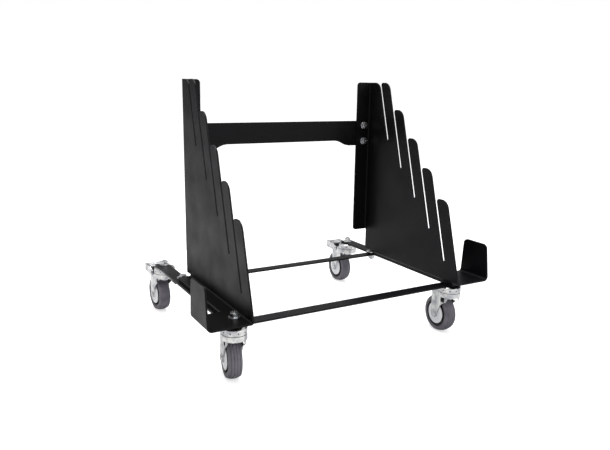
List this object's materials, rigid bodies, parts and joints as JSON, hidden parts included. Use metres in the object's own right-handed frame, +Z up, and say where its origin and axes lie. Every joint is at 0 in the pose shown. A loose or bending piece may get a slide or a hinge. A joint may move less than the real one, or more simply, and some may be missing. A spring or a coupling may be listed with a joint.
{
  "type": "rolling storage rack",
  "caption": "Rolling rack with slotted folded steel side plates, side troughs, a flat-bar base and swivel casters, the rear ones braked.",
  "frame": {"origin": "on the floor, under the centre of the outer box", "axes": "+Z up, +Y from the front, where the plates are lowest, to the braked casters at the back; +X to the right"},
  "size_m": [0.59, 0.4804, 0.494],
  "materials": {
    "black_powder_coat": "satin-gloss black powder coat",
    "zinc_fasteners": "bright zinc plated bolts, washers and nuts",
    "zinc_caster_steel": "bright zinc plated pressed steel",
    "bearing_steel": "polished balls and bushes",
    "tyre_rubber": "grey thermoplastic rubber with fine grooves",
    "wheel_plastic": "black moulded polypropylene",
    "thread_guard_steel": "pale satin pressed discs",
    "brake_shoe_rubber": "black rubber"
  },
  "bodies": {
    "frame": {"left_side_plate": "black_powder_coat", "right_side_plate": "black_powder_coat", "rear_tie_plate": "black_powder_coat", "left_rail": "black_powder_coat", "right_rail": "black_powder_coat", "left_packing_strip": "black_powder_coat", "right_packing_strip": "black_powder_coat", "front_cross_bar": "black_powder_coat", "rear_cross_bar": "black_powder_coat", "tie_bolts": "zinc_fasteners", "tie_washers": "zinc_fasteners", "tie_nuts": "zinc_fasteners", "foot_bolts": "zinc_fasteners", "foot_washers": "zinc_fasteners", "rear_bar_bolts": "zinc_fasteners", "rear_bar_washers": "zinc_fasteners", "rear_bar_nuts": "zinc_fasteners", "caster_bolts": "zinc_fasteners", "caster_washers": "zinc_fasteners", "caster_nuts": "zinc_fasteners", "caster_head_caps": "zinc_caster_steel", "caster_kingpins": "zinc_caster_steel", "caster_lower_races": "zinc_caster_steel", "swivel_balls": "bearing_steel"},
    "front_left_fork": {"front_left_fork": "zinc_caster_steel", "front_left_axle": "zinc_fasteners", "front_left_bush": "bearing_steel", "front_left_thread_guards": "thread_guard_steel"},
    "front_left_wheel": {"front_left_wheel_core": "wheel_plastic", "front_left_tyre": "tyre_rubber"},
    "front_right_fork": {"front_right_fork": "zinc_caster_steel", "front_right_axle": "zinc_fasteners", "front_right_bush": "bearing_steel", "front_right_thread_guards": "thread_guard_steel"},
    "front_right_wheel": {"front_right_wheel_core": "wheel_plastic", "front_right_tyre": "tyre_rubber"},
    "rear_left_fork": {"rear_left_fork": "zinc_caster_steel", "rear_left_axle": "zinc_fasteners", "rear_left_bush": "bearing_steel", "rear_left_thread_guards": "thread_guard_steel", "rear_left_brake_pin": "zinc_caster_steel", "rear_left_brake_spring": "zinc_caster_steel"},
    "rear_left_wheel": {"rear_left_wheel_core": "wheel_plastic", "rear_left_tyre": "tyre_rubber"},
    "rear_left_brake": {"rear_left_brake_pedal": "zinc_caster_steel", "rear_left_brake_shoe": "brake_shoe_rubber"},
    "rear_right_fork": {"rear_right_fork": "zinc_caster_steel", "rear_right_axle": "zinc_fasteners", "rear_right_bush": "bearing_steel", "rear_right_thread_guards": "thread_guard_steel", "rear_right_brake_pin": "zinc_caster_steel", "rear_right_brake_spring": "zinc_caster_steel"},
    "rear_right_wheel": {"rear_right_wheel_core": "wheel_plastic", "rear_right_tyre": "tyre_rubber"},
    "rear_right_brake": {"rear_right_brake_pedal": "zinc_caster_steel", "rear_right_brake_shoe": "brake_shoe_rubber"}
  },
  "joints": [
    {"name": "front_left_swivel", "type": "hinge", "parent": "frame", "child": "front_left_fork", "pos_m": [-0.233, -0.20045, 0.102], "axis": [0, 0, 1], "continuous": true},
    {"name": "front_left_roll", "type": "hinge", "parent": "front_left_fork", "child": "front_left_wheel", "pos_m": [-0.22866, -0.17583, 0.0375], "axis": [0.9848, -0.1736, 0], "continuous": true},
    {"name": "front_right_swivel", "type": "hinge", "parent": "frame", "child": "front_right_fork", "pos_m": [0.233, -0.20045, 0.102], "axis": [0, 0, 1], "continuous": true},
    {"name": "front_right_roll", "type": "hinge", "parent": "front_right_fork", "child": "front_right_wheel", "pos_m": [0.23474, -0.17551, 0.0375], "axis": [0.9976, -0.0698, 0], "continuous": true},
    {"name": "rear_left_swivel", "type": "hinge", "parent": "frame", "child": "rear_left_fork", "pos_m": [-0.233, 0.16755, 0.105], "axis": [0, 0, 1], "continuous": true},
    {"name": "rear_left_roll", "type": "hinge", "parent": "rear_left_fork", "child": "rear_left_wheel", "pos_m": [-0.23488, 0.2035, 0.0375], "axis": [0.9986, 0.0523, 0], "continuous": true},
    {"name": "rear_left_brake_pivot", "type": "hinge", "parent": "rear_left_fork", "child": "rear_left_brake", "pos_m": [-0.23462, 0.19851, 0.0875], "axis": [-0.9986, -0.0523, 0], "range_deg": [0, 10]},
    {"name": "rear_right_swivel", "type": "hinge", "parent": "frame", "child": "rear_right_fork", "pos_m": [0.233, 0.16755, 0.105], "axis": [0, 0, 1], "continuous": true},
    {"name": "rear_right_roll", "type": "hinge", "parent": "rear_right_fork", "child": "rear_right_wheel", "pos_m": [0.23426, 0.20353, 0.0375], "axis": [0.9994, -0.0349, 0], "continuous": true},
    {"name": "rear_right_brake_pivot", "type": "hinge", "parent": "rear_right_fork", "child": "rear_right_brake", "pos_m": [0.23408, 0.19853, 0.0875], "axis": [-0.9994, 0.0349, 0], "range_deg": [0, 10]}
  ]
}
